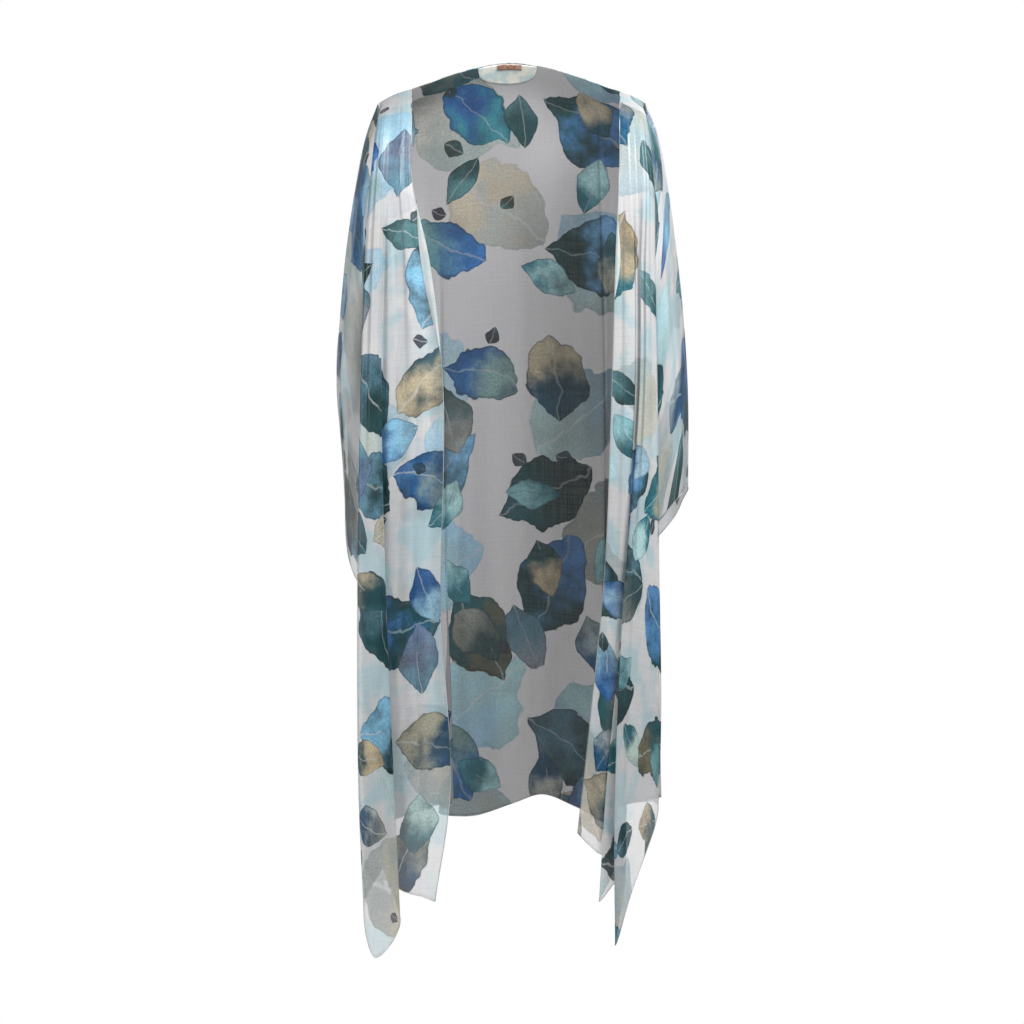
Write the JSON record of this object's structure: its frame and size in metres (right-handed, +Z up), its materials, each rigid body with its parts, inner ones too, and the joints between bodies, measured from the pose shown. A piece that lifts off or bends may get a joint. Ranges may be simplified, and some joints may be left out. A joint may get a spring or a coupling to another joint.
{
  "type": "kaftan",
  "caption": "Open-front kaftan of sheer printed silk, worn and hanging, with long wide sleeves and a handkerchief hem that falls lower in front.",
  "frame": {"origin": "nape of the neck, in the middle at the height of the back neck edge's top, on the line of the shoulder seams", "axes": "+Z up, +X towards the wearer's left, -Y towards the wearer's front"},
  "size_m": [0.5287, 0.2597, 1.3398],
  "materials": {
    "silk": "sheer printed silk, satin sheen",
    "facing": "pale silk, doubled",
    "label": "matt woven tape"
  },
  "bodies": {
    "root": {"back": "silk", "front_right": "silk", "front_left": "silk", "sleeve_right": "silk", "sleeve_left": "silk", "neck_facing": "facing", "neck_label": "label"}
  },
  "joints": []
}
